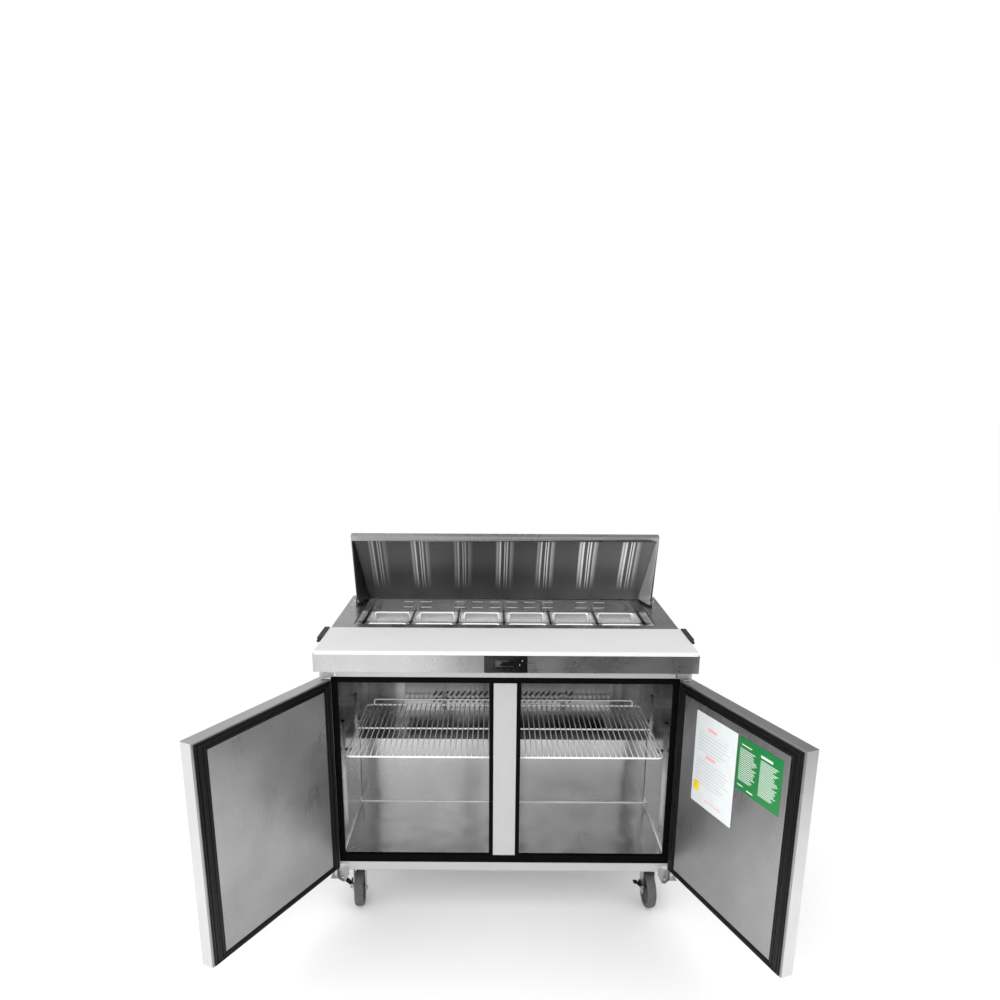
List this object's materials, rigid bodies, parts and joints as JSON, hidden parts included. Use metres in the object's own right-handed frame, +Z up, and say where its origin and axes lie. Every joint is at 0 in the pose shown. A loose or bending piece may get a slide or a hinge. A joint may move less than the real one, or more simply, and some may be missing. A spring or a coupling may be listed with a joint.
{
  "type": "sandwich prep table",
  "caption": "Stainless steel refrigerated sandwich prep table on casters, with a cutting board, a well of food pans under a tilting lid, wire shelves and hinged doors.",
  "frame": {"origin": "at floor level, in the middle of the bounding box with the doors and lid open", "axes": "+X along the table's width to the right, +Y from the front to the back, +Z up"},
  "size_m": [1.685, 1.2764, 1.2624],
  "materials": {
    "steel": "satin brushed stainless steel",
    "inner_steel": "satin stainless steel",
    "chrome": "polished",
    "zinc": "bright zinc plate",
    "wheel": "matt",
    "black_plastic": "satin",
    "seal": "matt",
    "grey_plastic": "satin",
    "board_plastic": "fine grained",
    "shelf_coat": "white plastic coating",
    "aluminium": "mill",
    "black_paint": "satin"
  },
  "bodies": {
    "cabinet": {"cabinet_left_panel": "steel", "cabinet_right_panel": "steel", "cabinet_bottom": "steel", "rear_panel": "steel", "face_frame": "steel", "breaker_frame": "black_plastic", "mullion": "steel", "liner": "inner_steel", "worktop": "steel", "well_liner": "steel", "pan_dividers": "steel", "control_panel": "black_plastic", "board_bracket_left": "grey_plastic", "board_bracket_right": "grey_plastic", "rear_hood": "steel", "lid_bracket_left": "chrome", "lid_bracket_right": "chrome", "hinge_left_top": "chrome", "hinge_left_bottom": "chrome", "hinge_right_top": "chrome", "hinge_right_bottom": "chrome", "evaporator_cover": "inner_steel", "evaporator_coil": "aluminium", "compressor": "black_paint", "condenser_coil": "aluminium"},
    "door_left": {"door_left_shell": "steel", "door_left_inner": "steel", "door_left_gasket": "seal"},
    "door_right": {"door_right_shell": "steel", "door_right_inner": "steel", "door_right_gasket": "seal"},
    "lid": {"lid_skin": "steel", "lid_liner": "inner_steel"},
    "board": {"cutting_board": "board_plastic"},
    "pan_front_1": {"pan_front_1": "steel"},
    "pan_front_2": {"pan_front_2": "steel"},
    "pan_front_3": {"pan_front_3": "steel"},
    "pan_front_4": {"pan_front_4": "steel"},
    "pan_front_5": {"pan_front_5": "steel"},
    "pan_front_6": {"pan_front_6": "steel"},
    "pan_rear_1": {"pan_rear_1": "steel"},
    "pan_rear_2": {"pan_rear_2": "steel"},
    "pan_rear_3": {"pan_rear_3": "steel"},
    "pan_rear_4": {"pan_rear_4": "steel"},
    "pan_rear_5": {"pan_rear_5": "steel"},
    "pan_rear_6": {"pan_rear_6": "steel"},
    "shelf_left": {"shelf_left": "shelf_coat"},
    "shelf_right": {"shelf_right": "shelf_coat"},
    "evaporator_fan": {"evaporator_fan": "black_plastic"},
    "condenser_fan": {"condenser_fan": "black_plastic"},
    "caster_front_left": {"caster_fork_front_left": "zinc"},
    "wheel_front_left": {"caster_wheel_front_left": "wheel"},
    "pedal_front_left": {"brake_pedal_front_left": "black_plastic"},
    "caster_front_right": {"caster_fork_front_right": "zinc"},
    "wheel_front_right": {"caster_wheel_front_right": "wheel"},
    "pedal_front_right": {"brake_pedal_front_right": "black_plastic"},
    "caster_rear_left": {"caster_fork_rear_left": "zinc"},
    "wheel_rear_left": {"caster_wheel_rear_left": "wheel"},
    "caster_rear_right": {"caster_fork_rear_right": "zinc"},
    "wheel_rear_right": {"caster_wheel_rear_right": "wheel"}
  },
  "joints": [
    {"name": "door_left_swing", "type": "hinge", "parent": "cabinet", "child": "door_left", "pos_m": [-0.55392, -0.09483, 0.525], "axis": [0, 0, -1], "range_deg": [-117.3, 2.7]},
    {"name": "door_right_swing", "type": "hinge", "parent": "cabinet", "child": "door_right", "pos_m": [0.61008, -0.09483, 0.525], "axis": [0, 0, 1], "range_deg": [-111, 9]},
    {"name": "lid_tilt", "type": "hinge", "parent": "cabinet", "child": "lid", "pos_m": [0.02808, 0.47717, 0.984], "axis": [-1, 0, 0], "range_deg": [-74, 0]},
    {"name": "board_lift", "type": "slide", "parent": "cabinet", "child": "board", "axis": [0, 0, 1], "range_m": [0, 0.1]},
    {"name": "pan_front_1_lift", "type": "slide", "parent": "cabinet", "child": "pan_front_1", "axis": [0, 0, 1], "range_m": [0, 0.085]},
    {"name": "pan_front_2_lift", "type": "slide", "parent": "cabinet", "child": "pan_front_2", "axis": [0, 0, 1], "range_m": [0, 0.085]},
    {"name": "pan_front_3_lift", "type": "slide", "parent": "cabinet", "child": "pan_front_3", "axis": [0, 0, 1], "range_m": [0, 0.085]},
    {"name": "pan_front_4_lift", "type": "slide", "parent": "cabinet", "child": "pan_front_4", "axis": [0, 0, 1], "range_m": [0, 0.085]},
    {"name": "pan_front_5_lift", "type": "slide", "parent": "cabinet", "child": "pan_front_5", "axis": [0, 0, 1], "range_m": [0, 0.085]},
    {"name": "pan_front_6_lift", "type": "slide", "parent": "cabinet", "child": "pan_front_6", "axis": [0, 0, 1], "range_m": [0, 0.085]},
    {"name": "pan_rear_1_lift", "type": "slide", "parent": "cabinet", "child": "pan_rear_1", "axis": [0, 0, 1], "range_m": [0, 0.05]},
    {"name": "pan_rear_2_lift", "type": "slide", "parent": "cabinet", "child": "pan_rear_2", "axis": [0, 0, 1], "range_m": [0, 0.05]},
    {"name": "pan_rear_3_lift", "type": "slide", "parent": "cabinet", "child": "pan_rear_3", "axis": [0, 0, 1], "range_m": [0, 0.05]},
    {"name": "pan_rear_4_lift", "type": "slide", "parent": "cabinet", "child": "pan_rear_4", "axis": [0, 0, 1], "range_m": [0, 0.05]},
    {"name": "pan_rear_5_lift", "type": "slide", "parent": "cabinet", "child": "pan_rear_5", "axis": [0, 0, 1], "range_m": [0, 0.05]},
    {"name": "pan_rear_6_lift", "type": "slide", "parent": "cabinet", "child": "pan_rear_6", "axis": [0, 0, 1], "range_m": [0, 0.05]},
    {"name": "shelf_left_lift", "type": "slide", "parent": "cabinet", "child": "shelf_left", "axis": [0, 0, 1], "range_m": [0, 0.06]},
    {"name": "shelf_right_lift", "type": "slide", "parent": "cabinet", "child": "shelf_right", "axis": [0, 0, 1], "range_m": [0, 0.06]},
    {"name": "evaporator_fan_spin", "type": "hinge", "parent": "cabinet", "child": "evaporator_fan", "pos_m": [0.32808, 0.50917, 0.67], "axis": [0, 1, 0], "continuous": true},
    {"name": "condenser_fan_spin", "type": "hinge", "parent": "cabinet", "child": "condenser_fan", "pos_m": [0.27808, 0.51917, 0.3], "axis": [0, 1, 0], "continuous": true},
    {"name": "caster_front_left_swivel", "type": "hinge", "parent": "cabinet", "child": "caster_front_left", "pos_m": [-0.48492, -0.00483, 0.12], "axis": [0, 0, 1], "continuous": true},
    {"name": "wheel_front_left_spin", "type": "hinge", "parent": "caster_front_left", "child": "wheel_front_left", "pos_m": [-0.48227, -0.04274, 0.0625], "axis": [0.9976, 0.0698, 0], "continuous": true},
    {"name": "pedal_front_left_press", "type": "hinge", "parent": "caster_front_left", "child": "pedal_front_left", "pos_m": [-0.5102, -0.04469, 0.082], "axis": [-0.0698, 0.9976, 0], "range_deg": [-14, 0]},
    {"name": "caster_front_right_swivel", "type": "hinge", "parent": "cabinet", "child": "caster_front_right", "pos_m": [0.54108, -0.00483, 0.12], "axis": [0, 0, 1], "continuous": true},
    {"name": "wheel_front_right_spin", "type": "hinge", "parent": "caster_front_right", "child": "wheel_front_right", "pos_m": [0.54373, -0.04274, 0.0625], "axis": [0.9976, 0.0698, 0], "continuous": true},
    {"name": "pedal_front_right_press", "type": "hinge", "parent": "caster_front_right", "child": "pedal_front_right", "pos_m": [0.5158, -0.04469, 0.082], "axis": [-0.0698, 0.9976, 0], "range_deg": [-14, 0]},
    {"name": "caster_rear_left_swivel", "type": "hinge", "parent": "cabinet", "child": "caster_rear_left", "pos_m": [-0.48492, 0.55717, 0.12], "axis": [0, 0, 1], "continuous": true},
    {"name": "wheel_rear_left_spin", "type": "hinge", "parent": "caster_rear_left", "child": "wheel_rear_left", "pos_m": [-0.47573, 0.5203, 0.0625], "axis": [0.9703, 0.2419, 0], "continuous": true},
    {"name": "caster_rear_right_swivel", "type": "hinge", "parent": "cabinet", "child": "caster_rear_right", "pos_m": [0.54108, 0.55717, 0.12], "axis": [0, 0, 1], "continuous": true},
    {"name": "wheel_rear_right_spin", "type": "hinge", "parent": "caster_rear_right", "child": "wheel_rear_right", "pos_m": [0.52808, 0.52146, 0.0625], "axis": [0.9397, -0.342, 0], "continuous": true}
  ]
}
